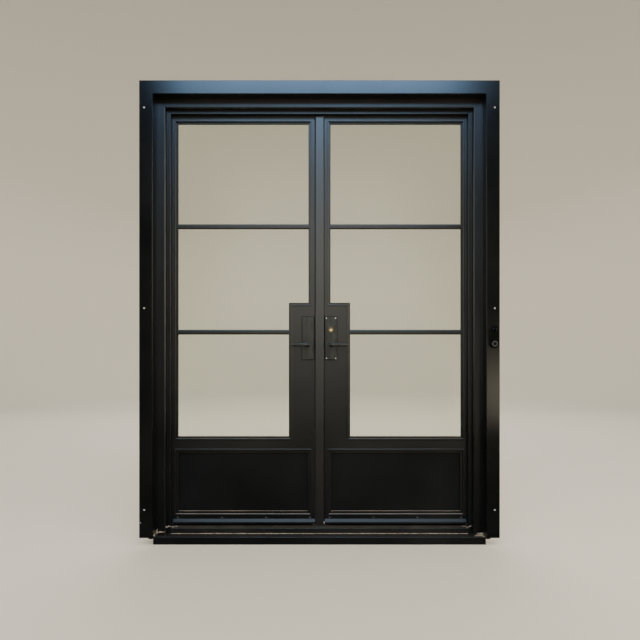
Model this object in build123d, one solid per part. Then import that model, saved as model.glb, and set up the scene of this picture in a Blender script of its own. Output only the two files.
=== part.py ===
from build123d import *
import os

# Double security door. X runs to the right seen from outside, Y into the house, Z up.
# Y = 0 is the outer face of the leaves, Z = 0 the underside of the sill.
# An offset u is counted outwards from the edge of the stops, at the jambs and at the head alike.
# A distance a is counted from the middle of the door towards one side; -1 is left, +1 is right.

# Opening between the stops
stop_half_width = 868.0
stop_height = 2490.0

# Frame section
stop_front_y = -37.0
stop_back_y = -6.0
stop_width = 22.0
stop_round = 2.0
face_width = 56.0
face_y = -70.0
frame_front_y = -140.0
frame_wall_width = 24.0
frame_steel = 4.0
face_round = 8.0
stop_groove_width = 4.0
groove_depth = 2.0
face_groove_inset = 11.0
face_groove_width = 3.0

# Casing
casing_width = 75.0
casing_thickness = 6.0
casing_round = 1.5
casing_foot_z = 52.0
casing_screw_u = 124.0
casing_screw_bottom_z = 211.0
casing_screw_middle_z = 1353.0
casing_screw_top_drop = 154.0
casing_screw_head_radius = 5.0
casing_screw_radius = 2.5
casing_screw_length = 16.0

# Wall anchors
anchor_bottom_z = 330.0
anchor_top_drop = 160.0
anchor_tab_width = 46.0
anchor_tab_height = 60.0
anchor_tab_thickness = 5.0
anchor_hole_radius = 6.0
anchor_hole_inset = 22.0

# Sill
sill_height = 44.0
sill_front_y = -102.0
sill_steel = 5.0
sill_round = 3.0
sill_u = 85.0
threshold_height = 38.0
threshold_front_y = -40.0
threshold_fall = 8.0
threshold_round = 2.0

# Leaves
leaf_thickness = 50.0
leaf_overlap = 12.0
leaf_gap = 4.0
leaf_bottom_gap = 9.0
leaf_steel = 3.0
outer_stile_width = 32.0
top_rail_width = 42.0
mid_rail_bottom_z = 523.0
mid_rail_width = 66.0
bottom_rail_width = 54.0
meeting_stile_a = 52.0
lock_box_a = 168.0
lock_box_top_z = 1379.0
left_leaf_edge_x = 25.0
meeting_gap = 4.0

# Mouldings, glass and panels
bead_width = 8.0
bead_proud = 3.0
bead_round = 2.4
moulding_web = 3.0
glass_foot_width = 10.0
kick_foot_width = 17.0
moulding_foot_y = 10.0
infill_y = 22.0
glass_thickness = 10.0
glass_edge_gap = 0.4
kick_panel_thickness = 4.0
glazing_bead_width = 8.0
glazing_bead_depth = 12.0
muntin_height = 29.0
muntin_front_y = 6.0
muntin_round = 7.0
muntin_lower_z = 1218.0
muntin_upper_drop = 619.0

# Centre bar
bar_half_width = 24.0
bar_thickness = 12.0
bar_round = 3.0
bar_end_gap = 4.0

# Bottom sweeps
sweep_bottom_z = 94.0
sweep_lip_height = 10.5
sweep_slope_height = 15.0
sweep_flange_height = 16.5
sweep_sheet = 3.0
sweep_bend_radius = 2.5
sweep_reach = 17.0
sweep_stop_gap = 6.0
sweep_bar_gap = 4.0
sweep_right_gap = 2.0
sweep_screw_count = 4
sweep_screw_inset = 28.0
sweep_screw_head_radius = 4.5
sweep_screw_radius = 2.2
sweep_screw_length = 12.0
screw_head_height = 2.0
screw_head_round = 1.2
screw_clearance = 0.1

# Seals
seal_width = 9.0
seal_gap = 0.3
threshold_seal_width = 14.0
threshold_seal_y = 34.0
threshold_seal_split = 40.0

# Hinges
hinge_bottom_z = 260.0
hinge_middle_z = 1300.0
hinge_top_drop = 172.0
hinge_axis_y = 62.0
hinge_radius = 10.0
hinge_half_length = 60.0
hinge_gap = 0.6
hinge_wing_width = 30.0
hinge_wing_thickness = 6.0
pin_radius = 6.0
pin_fixed_clearance = 0.05
pin_running_clearance = 0.1
pin_head_radius = 8.0
pin_head_height = 3.0

# Lock furniture
plate_width = 70.0
plate_height = 252.0
plate_thickness = 6.0
plate_bevel = 2.0
plate_center_a = 67.5
plate_center_z = 1182.0
plate_screw_inset = 8.0
plate_screw_head_radius = 4.0
plate_screw_radius = 2.0
plate_screw_length = 12.0
lever_z = 1144.0
lever_neck_radius = 10.0
lever_neck_clearance = 0.3
lever_collar_radius = 13.0
lever_collar_height = 4.0
lever_face_gap = 0.3
lever_projection = 52.0
lever_length = 102.0
lever_height = 17.0
lever_tip_height = 13.0
lever_thickness = 12.0
lever_round = 3.0
spindle_width = 8.0
spindle_clearance = 0.05
spindle_socket_depth = 30.0
hub_hole_radius = 6.2

# Cylinder and thumbturn
cylinder_z = 1231.0
cylinder_radius = 14.3
cylinder_clearance = 0.1
cylinder_front_y = -12.0
cylinder_back_y = 20.0
collar_radius = 19.5
collar_front_y = -10.0
plug_radius = 6.6
plug_clearance = 0.1
plug_proud = 0.8
keyway_width = 1.8
keyway_height = 8.0
keyway_depth = 18.0
turn_shaft_radius = 5.0
turn_shaft_clearance = 0.3
turn_rose_radius = 14.0
turn_rose_height = 5.0
turn_wing_length = 38.0
turn_wing_width = 9.0
turn_wing_height = 17.0
turn_wing_round = 3.0

# Lock cases, latch and bolts
case_steel = 2.0
case_half_depth = 10.0
case_bottom_z = 1092.0
case_top_z = 1276.0
case_back_gap = 22.0
case_fit = 0.1
forend_thickness = 3.0
forend_half_depth = 11.0
forend_overlap = 24.0
bolt_setback = 1.0
bolt_clearance = 0.3
latch_z = 1144.0
latch_half_height = 11.0
latch_half_depth = 5.5
latch_length = 22.0
latch_nose = 4.0
deadbolt_z = 1192.0
deadbolt_half_height = 14.0
deadbolt_half_depth = 7.0
deadbolt_tail_gap = 1.5
strike_thickness = 2.5
strike_half_depth = 13.0
strike_overlap = 22.0
strike_hole_margin = 1.5
rod_radius = 6.0
rod_clearance = 0.3
rod_keeper_clearance = 1.0
rod_x = -6.0
rod_setback = 2.0
rod_inset = 30.0
rod_case_bottom_z = 1084.0
rod_case_top_z = 1204.0
rod_window_gap = 3.0

# Doorbell
bell_center_u = 119.0
bell_center_z = 1192.0
bell_width = 50.0
bell_height = 128.0
bell_depth = 23.0
bell_shell = 2.5
bell_round = 3.0
bell_back = 3.0
bell_button_drop = 40.0
bell_button_radius = 10.5
bell_button_height = 7.0
bell_button_proud = 1.2
bell_button_clearance = 0.3
bell_bezel_radius = 16.5
bell_bezel_depth = 0.8
bell_lens_rise = 38.0
bell_lens_radius = 11.0
bell_lens_height = 6.0
bell_lens_proud = 1.5

# Derived places
leaf_half_width = stop_half_width + leaf_overlap
leaf_top_z = stop_height + leaf_overlap
threshold_top_z = sill_height + threshold_height
leaf_bottom_z = threshold_top_z + leaf_bottom_gap
wall_u = leaf_overlap + leaf_gap
reveal_u = stop_width + face_width
frame_u = reveal_u + frame_wall_width
frame_half_width = stop_half_width + frame_u
outer_stile_a = leaf_half_width - outer_stile_width
glass_top_z = leaf_top_z - top_rail_width
mid_rail_top_z = mid_rail_bottom_z + mid_rail_width
bottom_rail_top_z = leaf_bottom_z + bottom_rail_width
right_leaf_edge_x = left_leaf_edge_x + meeting_gap
sweep_lip_top_z = sweep_bottom_z + sweep_lip_height
sweep_slope_top_z = sweep_lip_top_z + sweep_slope_height
sweep_top_z = sweep_slope_top_z + sweep_flange_height
meeting_edge_a = {-1: -left_leaf_edge_x, 1: right_leaf_edge_x}
side_name = {-1: "left", 1: "right"}
hinge_a = leaf_half_width + leaf_gap / 2
leaf_mid_y = leaf_thickness / 2
hinge_heights = [hinge_bottom_z, hinge_middle_z, leaf_top_z - hinge_top_drop]
anchor_heights = [anchor_bottom_z, stop_height - anchor_top_drop]
muntin_heights = [muntin_lower_z, glass_top_z - muntin_upper_drop]

# Reach of a cut that goes right through, and how far a cut starts outside the face that it opens
far = 3000.0
past = 1.0


def block(x0, x1, y0, y1, z0, z1):
    center = Pos((x0 + x1) / 2, (y0 + y1) / 2, (z0 + z1) / 2)
    return center * Box(abs(x1 - x0), abs(y1 - y0), abs(z1 - z0))


def rod_z(radius, x, y, z0, z1):
    return Pos(x, y, (z0 + z1) / 2) * Cylinder(radius, z1 - z0)


def rod_y(radius, x, z, y0, y1):
    return Pos(x, (y0 + y1) / 2, z) * Rot(90, 0, 0) * Cylinder(radius, y1 - y0)


def outline(points):
    return make_face(Polyline(*points, close=True))


def upright(sketch, y0, y1):
    # An outline drawn in X and Z, thickened from y0 to y1
    return Pos(0, y0, 0) * extrude(Plane.XZ * sketch, amount=y1 - y0, dir=(0, 1, 0))


def across(sketch, half_width):
    # An outline drawn in Y and Z, carried along X to both sides of the middle
    return extrude(Plane.YZ * sketch, amount=half_width, both=True)


def save(node, shape):
    shape.label = node
    export_step(shape, f"parts/{node}.step")


def group(solids):
    return Compound(children=list(solids))


# Frame

def frame_section():
    points = [
        (0, stop_front_y),
        (0, stop_back_y),
        (wall_u, stop_back_y),
        (wall_u, leaf_thickness),
        (frame_u, leaf_thickness),
        (frame_u, frame_front_y),
        (reveal_u, frame_front_y),
        (reveal_u, face_y),
        (stop_width, face_y),
        (stop_width, stop_front_y),
    ]
    solid = outline(points)
    hollow = offset(solid, amount=-frame_steel, kind=Kind.INTERSECTION)
    for u, y, radius in [(stop_width, face_y, face_round), (0, stop_front_y, stop_round)]:
        corner = solid.vertices().sort_by_distance((u, y, 0))[0]
        solid = fillet(corner, radius)
    stop_groove = Pos(stop_width / 2, stop_front_y) * Rectangle(stop_groove_width, 2 * groove_depth)
    face_groove_u = reveal_u - face_groove_inset
    face_groove = Pos(face_groove_u, face_y) * Rectangle(face_groove_width, 2 * groove_depth)
    return solid - hollow - stop_groove - face_groove


def past_mitre(side):
    # Everything on the jamb's side of the mitre between one jamb and the head
    foot_z = stop_height - stop_half_width
    points = [(0, foot_z), (far, foot_z + far), (far, -far), (0, -far)]
    wedge = outline([(side * x, z) for x, z in points])
    return upright(wedge, -far / 2, far / 2)


def hinge_half(side, on_leaf):
    inward = 1 if on_leaf else -1
    axis_x = side * hinge_a
    parts = []
    for z in hinge_heights:
        near_z = z + inward * hinge_gap / 2
        far_z = z + inward * hinge_half_length
        low, high = min(near_z, far_z), max(near_z, far_z)
        barrel = rod_z(hinge_radius, axis_x, hinge_axis_y, low, high)
        wing_end_x = axis_x - side * inward * hinge_wing_width
        wing = block(axis_x, wing_end_x, leaf_thickness, leaf_thickness + hinge_wing_thickness, low, high)
        clearance = pin_running_clearance if on_leaf else pin_fixed_clearance
        bore = rod_z(pin_radius + clearance, axis_x, hinge_axis_y, low - past, high + past)
        parts.append(barrel + wing - bore)
    return parts


def hinge_pins():
    pins = []
    for side in (-1, 1):
        for z in hinge_heights:
            top = z + hinge_half_length + hinge_gap
            pin = rod_z(pin_radius, side * hinge_a, hinge_axis_y, z - hinge_half_length, top)
            head = rod_z(pin_head_radius, side * hinge_a, hinge_axis_y, top, top + pin_head_height)
            pins.append(pin + head)
    return group(pins)


def anchor_tabs(side):
    tabs = []
    wall_x = side * frame_half_width
    for z in anchor_heights:
        tab = block(
            wall_x,
            wall_x + side * anchor_tab_width,
            leaf_thickness - anchor_tab_thickness,
            leaf_thickness,
            z - anchor_tab_height / 2,
            z + anchor_tab_height / 2,
        )
        hole_x = wall_x + side * (anchor_tab_width - anchor_hole_inset)
        hole = rod_y(anchor_hole_radius, hole_x, z, 0, leaf_thickness + past)
        tabs.append(tab - hole)
    return tabs


def frame_jamb(side):
    section = frame_section()
    jamb = Pos(stop_half_width, 0, sill_height) * extrude(section, amount=far, dir=(0, 0, 1))
    if side < 0:
        jamb = mirror(jamb, Plane.YZ)
    jamb = jamb & past_mitre(side)
    for piece in hinge_half(side, False) + anchor_tabs(side):
        jamb += piece
    return jamb


def frame_head():
    section = frame_section()
    end_plane = Plane(origin=(0, 0, stop_height), x_dir=(0, 0, 1), z_dir=(1, 0, 0))
    head = extrude(end_plane * mirror(section, Plane.XZ), amount=frame_half_width, both=True)
    for side in (-1, 1):
        head -= past_mitre(side)
    wall_z = stop_height + wall_u
    keeper_radius = rod_radius + rod_keeper_clearance
    return head - rod_z(keeper_radius, rod_x, leaf_mid_y, wall_z - past, wall_z + frame_steel + past)


def casing_outline():
    inner_x = stop_half_width + reveal_u
    inner_z = stop_height + reveal_u
    outer_x = inner_x + casing_width
    outer_z = inner_z + casing_width
    return inner_x, inner_z, outer_x, outer_z


def casing_y():
    return frame_front_y - casing_thickness, frame_front_y


def casing_screw_places():
    outer_z = casing_outline()[3]
    heights = [casing_screw_bottom_z, casing_screw_middle_z, outer_z - casing_screw_top_drop]
    return [(side * (stop_half_width + casing_screw_u), z) for side in (-1, 1) for z in heights]


def casing_board(sketch, along):
    # A flat board whose two long front edges are rounded
    board = upright(sketch, *casing_y())
    front = board.faces().sort_by(Axis.Y)[0]
    return fillet(front.edges().filter_by(along), casing_round)


def casing_boards():
    inner_x, inner_z, outer_x, outer_z = casing_outline()
    y0, y1 = casing_y()
    head = outline([(-outer_x, outer_z), (outer_x, outer_z), (inner_x, inner_z), (-inner_x, inner_z)])
    boards = {"casing_head": casing_board(head, Axis.X)}
    for side in (-1, 1):
        points = [
            (inner_x, casing_foot_z),
            (outer_x, casing_foot_z),
            (outer_x, outer_z),
            (inner_x, inner_z),
        ]
        leg = casing_board(outline([(side * x, z) for x, z in points]), Axis.Z)
        for x, z in casing_screw_places():
            leg -= rod_y(casing_screw_radius + screw_clearance, x, z, y0 - past, y1 + past)
        boards[f"casing_{side_name[side]}_leg"] = leg
    return boards


def screw(x, z, face, inward, head_radius, radius, length):
    # A pan head on the face and a plain shank that runs inward along Y
    head = rod_y(head_radius, x, z, *sorted((face, face - inward * screw_head_height)))
    front = head.faces().sort_by(Axis.Y)[0 if inward > 0 else -1]
    head = fillet(front.edges(), screw_head_round)
    shank = rod_y(radius, x, z, *sorted((face, face + inward * length)))
    return head + shank


def casing_screws():
    y0 = casing_y()[0]
    return group(
        screw(x, z, y0, 1, casing_screw_head_radius, casing_screw_radius, casing_screw_length)
        for x, z in casing_screw_places()
    )


def sill_base():
    # A flat tube, open at its two ends
    half_width = stop_half_width + sill_u
    outer = block(-half_width, half_width, sill_front_y, leaf_thickness, 0, sill_height)
    nose = outer.edges().filter_by(Axis.X).sort_by_distance((0, sill_front_y, sill_height))[0]
    outer = fillet(nose, sill_round)
    inner = block(
        -half_width - past,
        half_width + past,
        sill_front_y + sill_steel,
        leaf_thickness - sill_steel,
        sill_steel,
        sill_height - sill_steel,
    )
    return outer - inner


def threshold_outline(bottom_z):
    # A short front face, and a top that falls towards it in front of the leaves
    nose_z = threshold_top_z - threshold_fall
    points = [
        (threshold_front_y, bottom_z),
        (threshold_front_y, nose_z),
        (stop_back_y, threshold_top_z),
        (leaf_thickness, threshold_top_z),
        (leaf_thickness, bottom_z),
    ]
    section = outline(points)
    nose = section.vertices().sort_by_distance((threshold_front_y, nose_z, 0))[0]
    return section, nose


def threshold():
    section, nose = threshold_outline(sill_height)
    whole = across(fillet(nose, threshold_round), stop_half_width)
    back_half = stop_half_width + wall_u
    back = block(-back_half, back_half, stop_back_y, leaf_thickness, sill_height, threshold_top_z)
    deep_section = threshold_outline(sill_height - 2 * sill_steel)[0]
    inner = across(inset(deep_section, sill_steel), stop_half_width - sill_steel)
    keeper_radius = rod_radius + rod_keeper_clearance
    keeper = rod_z(keeper_radius, rod_x, leaf_mid_y, sill_height, threshold_top_z + past)
    return whole + back - inner - keeper


def frame_seals():
    y0, y1 = stop_back_y, -seal_gap
    inset = (leaf_overlap - seal_width) / 2
    seals = [
        block(
            -stop_half_width, stop_half_width, y0, y1, stop_height + inset, stop_height + inset + seal_width
        )
    ]
    for side in (-1, 1):
        a0 = stop_half_width + inset
        seals.append(block(side * a0, side * (a0 + seal_width), y0, y1, threshold_top_z, stop_height))
        seals.append(
            block(
                side * threshold_seal_split,
                side * stop_half_width,
                threshold_seal_y - threshold_seal_width / 2,
                threshold_seal_y + threshold_seal_width / 2,
                threshold_top_z,
                leaf_bottom_z - seal_gap,
            )
        )
    return group(seals)


# Leaves

def glass_outline(side):
    points = [
        (meeting_stile_a, lock_box_top_z),
        (lock_box_a, lock_box_top_z),
        (lock_box_a, mid_rail_top_z),
        (outer_stile_a, mid_rail_top_z),
        (outer_stile_a, glass_top_z),
        (meeting_stile_a, glass_top_z),
    ]
    return outline([(side * a, z) for a, z in points])


def kick_outline(side):
    points = [
        (meeting_stile_a, bottom_rail_top_z),
        (outer_stile_a, bottom_rail_top_z),
        (outer_stile_a, mid_rail_bottom_z),
        (meeting_stile_a, mid_rail_bottom_z),
    ]
    return outline([(side * a, z) for a, z in points])


def inset(sketch, distance):
    return offset(sketch, amount=-distance, kind=Kind.INTERSECTION)


def moulding(opening, foot_width):
    # A rounded bead on the face, a web down the side of the opening and a foot that the infill seats on
    bead = offset(opening, amount=bead_width, kind=Kind.ARC) - inset(opening, moulding_web)
    bead = upright(bead, -bead_proud, 0)
    front = bead.faces().sort_by(Axis.Y)[0]
    bead = fillet(front.edges(), bead_round)
    web = upright(opening - inset(opening, moulding_web), 0, infill_y)
    foot = upright(opening - inset(opening, foot_width), moulding_foot_y, infill_y)
    return bead + web + foot


def rail(side, z0, z1):
    a0, a1 = side * meeting_stile_a, side * outer_stile_a
    tube = block(a0, a1, 0, leaf_thickness, z0, z1)
    hollow = block(a0, a1, leaf_steel, leaf_thickness - leaf_steel, z0 + leaf_steel, z1 - leaf_steel)
    return tube - hollow


def outer_stile(side):
    a0, a1 = outer_stile_a, leaf_half_width
    tube = block(side * a0, side * a1, 0, leaf_thickness, leaf_bottom_z, leaf_top_z)
    hollow = block(
        side * (a0 + leaf_steel),
        side * (a1 - leaf_steel),
        leaf_steel,
        leaf_thickness - leaf_steel,
        leaf_bottom_z - past,
        leaf_top_z - leaf_steel,
    )
    stile = tube - hollow
    for piece in hinge_half(side, True):
        stile += piece
    return stile


def furniture_holes(side):
    # Clearance through both faces of the lock box for the lever necks and, on the right, the cylinder
    a = side * plate_center_a
    holes = rod_y(lever_neck_radius + lever_neck_clearance, a, lever_z, -far, far)
    if side > 0:
        holes += rod_y(cylinder_radius + cylinder_clearance, a, cylinder_z, -far, leaf_mid_y)
        holes += rod_y(turn_shaft_radius + turn_shaft_clearance, a, cylinder_z, leaf_mid_y, far)
        for dx, z in plate_screw_places():
            holes += rod_y(plate_screw_radius + screw_clearance, a + dx, z, -far, leaf_mid_y)
    return holes


def meeting_stile(side):
    edge = meeting_edge_a[side]
    stile = block(side * edge, side * meeting_stile_a, 0, leaf_thickness, leaf_bottom_z, leaf_top_z)
    stile += block(side * edge, side * lock_box_a, 0, leaf_thickness, mid_rail_top_z, lock_box_top_z)
    y0, y1 = leaf_steel, leaf_thickness - leaf_steel
    a0 = edge + leaf_steel
    bottom = leaf_bottom_z + leaf_steel if side < 0 else leaf_bottom_z - past
    stile -= block(
        side * a0, side * (meeting_stile_a - leaf_steel), y0, y1, bottom, leaf_top_z - leaf_steel
    )
    stile -= block(
        side * a0,
        side * (lock_box_a - leaf_steel),
        y0,
        y1,
        mid_rail_top_z + leaf_steel,
        lock_box_top_z - leaf_steel,
    )
    stile -= furniture_holes(side)
    if side < 0:
        hole = rod_z(rod_radius + rod_clearance, rod_x, leaf_mid_y, 0, far)
        return stile - hole - strike_plate_blank() - bolt_windows(strike_hole_margin)
    return stile - forend_blank(case_fit)


# Lock cases

def case_back_a():
    return plate_center_a + case_back_gap


def forend_blank(clearance):
    x0 = right_leaf_edge_x
    return block(
        x0 - past,
        x0 + forend_thickness,
        leaf_mid_y - forend_half_depth - clearance,
        leaf_mid_y + forend_half_depth + clearance,
        case_bottom_z - forend_overlap - clearance,
        case_top_z + forend_overlap + clearance,
    )


def bolt_windows(clearance):
    # The openings that the latch and the deadbolt pass through, right across the meeting line
    start_x = rod_x + rod_radius + rod_window_gap
    end_x = right_leaf_edge_x + forend_thickness + case_steel
    bolts = [
        (latch_z, latch_half_height, latch_half_depth),
        (deadbolt_z, deadbolt_half_height, deadbolt_half_depth),
    ]
    windows = []
    for z, half_height, half_depth in bolts:
        reach_y = half_depth + clearance
        reach_z = half_height + clearance
        windows.append(
            block(start_x, end_x, leaf_mid_y - reach_y, leaf_mid_y + reach_y, z - reach_z, z + reach_z)
        )
    return windows[0] + windows[1]


def strike_plate_blank():
    return block(
        left_leaf_edge_x - strike_thickness,
        left_leaf_edge_x,
        leaf_mid_y - strike_half_depth,
        leaf_mid_y + strike_half_depth,
        latch_z - latch_half_height - strike_overlap,
        deadbolt_z + deadbolt_half_height + strike_overlap,
    )


def strike_plate():
    return strike_plate_blank() - bolt_windows(strike_hole_margin)


def right_lock_case():
    x0 = right_leaf_edge_x
    forend = forend_blank(0) & block(x0, far, -far, far, 0, far)
    y0, y1 = leaf_mid_y - case_half_depth, leaf_mid_y + case_half_depth
    box = block(x0 + forend_thickness, case_back_a(), y0, y1, case_bottom_z, case_top_z)
    hollow = block(
        x0 + forend_thickness + case_steel,
        case_back_a() - case_steel,
        y0 + case_steel,
        y1 - case_steel,
        case_bottom_z + case_steel,
        case_top_z - case_steel,
    )
    case = forend + box - hollow
    case -= bolt_windows(bolt_clearance)
    case -= rod_y(hub_hole_radius, plate_center_a, lever_z, -far, far)
    case -= rod_y(cylinder_radius + cylinder_clearance, plate_center_a, cylinder_z, -far, leaf_mid_y)
    case -= rod_y(turn_shaft_radius + turn_shaft_clearance, plate_center_a, cylinder_z, 0, far)
    return case


def left_lock_case():
    # The gear case that drives the two shoot bolts from the left lever
    x0, x1 = -case_back_a(), left_leaf_edge_x - leaf_steel
    y0, y1 = leaf_steel, leaf_thickness - leaf_steel
    box = block(x0, x1, y0, y1, rod_case_bottom_z, rod_case_top_z)
    hollow = block(
        x0 + case_steel,
        x1 - case_steel,
        y0 + case_steel,
        y1 - case_steel,
        rod_case_bottom_z + case_steel,
        rod_case_top_z - case_steel,
    )
    case = box - hollow
    case -= rod_z(rod_radius + rod_clearance, rod_x, leaf_mid_y, 0, far)
    case -= rod_y(hub_hole_radius, -plate_center_a, lever_z, -far, far)
    return case - bolt_windows(strike_hole_margin)


def latch():
    x0 = right_leaf_edge_x + bolt_setback
    body = block(
        x0,
        x0 + latch_length,
        leaf_mid_y - latch_half_depth,
        leaf_mid_y + latch_half_depth,
        latch_z - latch_half_height,
        latch_z + latch_half_height,
    )
    nose = body.edges().filter_by(Axis.Z).sort_by_distance((x0, leaf_thickness, latch_z))[0]
    return chamfer(nose, latch_nose)


def deadbolt():
    return block(
        right_leaf_edge_x + bolt_setback,
        case_back_a() - case_steel - deadbolt_tail_gap,
        leaf_mid_y - deadbolt_half_depth,
        leaf_mid_y + deadbolt_half_depth,
        deadbolt_z - deadbolt_half_height,
        deadbolt_z + deadbolt_half_height,
    )


def shoot_bolts():
    top = rod_z(
        rod_radius, rod_x, leaf_mid_y, rod_case_top_z - rod_inset, leaf_top_z - rod_setback
    )
    bottom = rod_z(
        rod_radius, rod_x, leaf_mid_y, leaf_bottom_z + rod_setback, rod_case_bottom_z + rod_inset
    )
    return {"top_shoot_bolt": top, "bottom_shoot_bolt": bottom}


# Lock furniture

def plate_screw_places():
    dx = plate_width / 2 - plate_screw_inset
    dz = plate_height / 2 - plate_screw_inset
    return [(sx * dx, plate_center_z + sz * dz) for sx in (-1, 1) for sz in (-1, 1)]


def furniture_plate(side, outside):
    a = side * plate_center_a
    face = 0 if outside else leaf_thickness
    inward = 1 if outside else -1
    y0, y1 = sorted((face, face - inward * plate_thickness))
    plate = block(
        a - plate_width / 2,
        a + plate_width / 2,
        y0,
        y1,
        plate_center_z - plate_height / 2,
        plate_center_z + plate_height / 2,
    )
    front = plate.faces().sort_by(Axis.Y)[0 if outside else -1]
    plate = chamfer(front.edges(), plate_bevel)
    return plate - furniture_holes(side)


def lever(side, outside):
    # A neck on the spindle and a flat grip that runs away from the meeting line and thins to its tip
    face = -plate_thickness if outside else leaf_thickness + plate_thickness
    out = -1 if outside else 1
    a = side * plate_center_a
    grip_y = face + out * lever_projection
    neck = rod_y(lever_neck_radius, a, lever_z, *sorted((face - out * plate_thickness, grip_y)))
    collar_y = face + out * lever_face_gap
    collar_end = collar_y + out * lever_collar_height
    collar = rod_y(lever_collar_radius, a, lever_z, *sorted((collar_y, collar_end)))
    tip = side * lever_length
    root = -side * lever_neck_radius
    half, tip_half = lever_height / 2, lever_tip_height / 2
    points = [(root, -half), (tip, -tip_half), (tip, tip_half), (root, half)]
    grip = outline([(a + x, lever_z + z) for x, z in points])
    grip = fillet(grip.vertices(), lever_round)
    grip = upright(grip, *sorted((grip_y, grip_y - out * lever_thickness)))
    outer_face = grip.faces().sort_by(Axis.Y)[0 if outside else -1]
    grip = fillet(outer_face.edges(), lever_round)
    handle = neck + collar + grip
    socket_half = spindle_width / 2 + spindle_clearance
    socket_start = face - out * plate_thickness
    socket = block(
        a - socket_half,
        a + socket_half,
        socket_start - out * past,
        face + out * spindle_socket_depth,
        lever_z - socket_half,
        lever_z + socket_half,
    )
    return handle - socket


def spindle(side):
    a = side * plate_center_a
    reach = plate_thickness + spindle_socket_depth
    half = spindle_width / 2
    return block(a - half, a + half, -reach, leaf_thickness + reach, lever_z - half, lever_z + half)


def cylinder():
    a = plate_center_a
    body = rod_y(cylinder_radius, a, cylinder_z, cylinder_front_y, cylinder_back_y)
    return body - rod_y(plug_radius + plug_clearance, a, cylinder_z, -far, far)


def cylinder_collar():
    a = plate_center_a
    ring = rod_y(collar_radius, a, cylinder_z, collar_front_y, -plate_thickness)
    front = ring.faces().sort_by(Axis.Y)[0]
    ring = fillet(front.edges(), plate_bevel)
    return ring - rod_y(cylinder_radius + cylinder_clearance, a, cylinder_z, -far, far)


def key_plug():
    a = plate_center_a
    front = cylinder_front_y - plug_proud
    plug = rod_y(plug_radius, a, cylinder_z, front, cylinder_back_y)
    keyway = block(
        a - keyway_width / 2,
        a + keyway_width / 2,
        front - past,
        front + keyway_depth,
        cylinder_z - keyway_height / 2,
        cylinder_z + keyway_height / 2,
    )
    return plug - keyway


def thumbturn():
    a = plate_center_a
    face = leaf_thickness + plate_thickness
    shaft = rod_y(turn_shaft_radius, a, cylinder_z, cylinder_back_y, face + turn_rose_height)
    rose = rod_y(turn_rose_radius, a, cylinder_z, face + lever_face_gap, face + turn_rose_height)
    wing = block(
        a - turn_wing_width / 2,
        a + turn_wing_width / 2,
        face + turn_rose_height,
        face + turn_rose_height + turn_wing_height,
        cylinder_z - turn_wing_length / 2,
        cylinder_z + turn_wing_length / 2,
    )
    wing = fillet(wing.edges().filter_by(Axis.Y), turn_wing_round)
    return shaft + rose + wing


# Other leaf pieces

def muntins(side):
    bars = []
    for z in muntin_heights:
        narrow = z < lock_box_top_z
        a0 = (lock_box_a if narrow else meeting_stile_a) + glass_foot_width
        a1 = outer_stile_a - glass_foot_width
        bar = block(
            side * a0,
            side * a1,
            muntin_front_y,
            infill_y,
            z - muntin_height / 2,
            z + muntin_height / 2,
        )
        front = bar.faces().sort_by(Axis.Y)[0]
        bars.append(fillet(front.edges().filter_by(Axis.X), muntin_round))
    return group(bars)


def centre_bar():
    bar = block(
        left_leaf_edge_x - 2 * bar_half_width,
        left_leaf_edge_x,
        -bar_thickness,
        0,
        leaf_bottom_z,
        stop_height - bar_end_gap,
    )
    front = bar.faces().sort_by(Axis.Y)[0]
    return fillet(front.edges().filter_by(Axis.Z), bar_round)


def sweep_span(side):
    outer = stop_half_width - sweep_stop_gap
    if side > 0:
        return right_leaf_edge_x + sweep_right_gap, outer
    return 2 * bar_half_width - left_leaf_edge_x + sweep_bar_gap, outer


def sweep_screw_places(side):
    inner, outer = sweep_span(side)
    first, last = inner + sweep_screw_inset, outer - sweep_screw_inset
    step = (last - first) / (sweep_screw_count - 1)
    z = sweep_top_z - sweep_flange_height / 2
    return [(side * (first + i * step), z) for i in range(sweep_screw_count)]


def sweep(side):
    # A bent sheet strip: a flange on the face, a slope outwards and a lip that hangs at its edge
    inner, outer = sweep_span(side)
    flange_y = -sweep_sheet / 2
    lip_y = sweep_sheet / 2 - sweep_reach
    points = [
        (flange_y, sweep_top_z),
        (flange_y, sweep_slope_top_z),
        (lip_y, sweep_lip_top_z),
        (lip_y, sweep_bottom_z),
    ]
    section = trace(FilletPolyline(*points, radius=sweep_bend_radius), sweep_sheet)
    strip = Pos(side * inner, 0, 0) * extrude(Plane.YZ * section, amount=outer - inner, dir=(side, 0, 0))
    for x, z in sweep_screw_places(side):
        strip -= rod_y(sweep_screw_radius + screw_clearance, x, z, -far, far)
    return strip


def leaf_screws(side):
    screws = [
        screw(x, z, -sweep_sheet, 1, sweep_screw_head_radius, sweep_screw_radius, sweep_screw_length)
        for x, z in sweep_screw_places(side)
    ]
    if side > 0:
        sizes = (plate_screw_head_radius, plate_screw_radius, plate_screw_length)
        for dx, z in plate_screw_places():
            screws.append(screw(plate_center_a + dx, z, -plate_thickness, 1, *sizes))
    return group(screws)


def drilled_rail(side):
    # The bottom rail with the holes that the sweep's screws go into
    tube = rail(side, leaf_bottom_z, bottom_rail_top_z)
    for x, z in sweep_screw_places(side):
        tube -= rod_y(sweep_screw_radius + screw_clearance, x, z, -past, leaf_mid_y)
    return tube


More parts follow.
